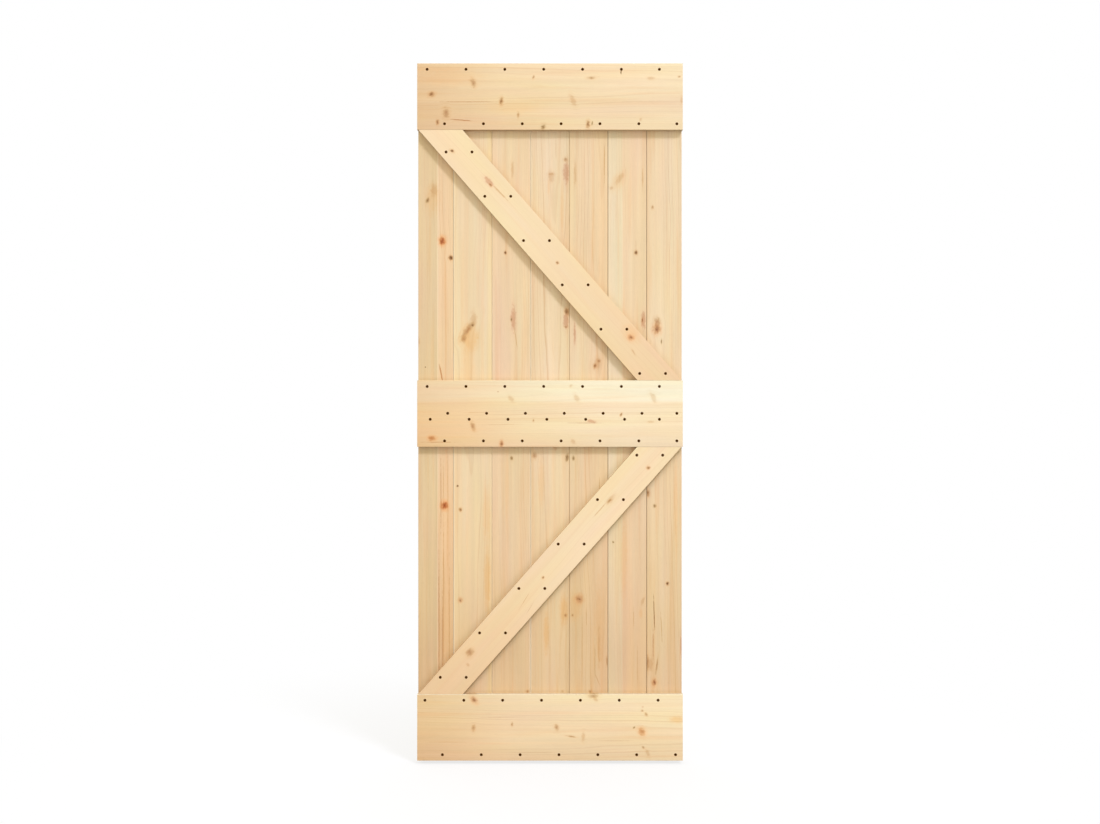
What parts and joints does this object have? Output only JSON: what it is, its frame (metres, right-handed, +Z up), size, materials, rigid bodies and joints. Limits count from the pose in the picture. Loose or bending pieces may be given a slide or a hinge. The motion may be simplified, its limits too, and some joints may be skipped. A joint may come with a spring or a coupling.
{
  "type": "sliding door leaf",
  "caption": "Ledged and braced sliding door leaf of tongue-and-groove pine boards, with flat rails across and diagonal braces, hung from a track by its top rail.",
  "frame": {"origin": "centre of the top rail's front face, where the track's hangers are bolted on", "axes": "+Z up, +X to the right seen from the front, +Y from the front into the leaf"},
  "size_m": [0.8, 0.036, 2.1],
  "materials": {
    "board_pine": "bare planed pine",
    "rail_pine": "bare planed pine",
    "brace_pine": "bare planed pine"
  },
  "bodies": {
    "root": {"board_1": "board_pine", "board_2": "board_pine", "board_3": "board_pine", "board_4": "board_pine", "board_5": "board_pine", "board_6": "board_pine", "board_7": "board_pine", "top_rail": "rail_pine", "middle_rail": "rail_pine", "bottom_rail": "rail_pine", "upper_brace": "brace_pine", "lower_brace": "brace_pine"}
  },
  "joints": []
}
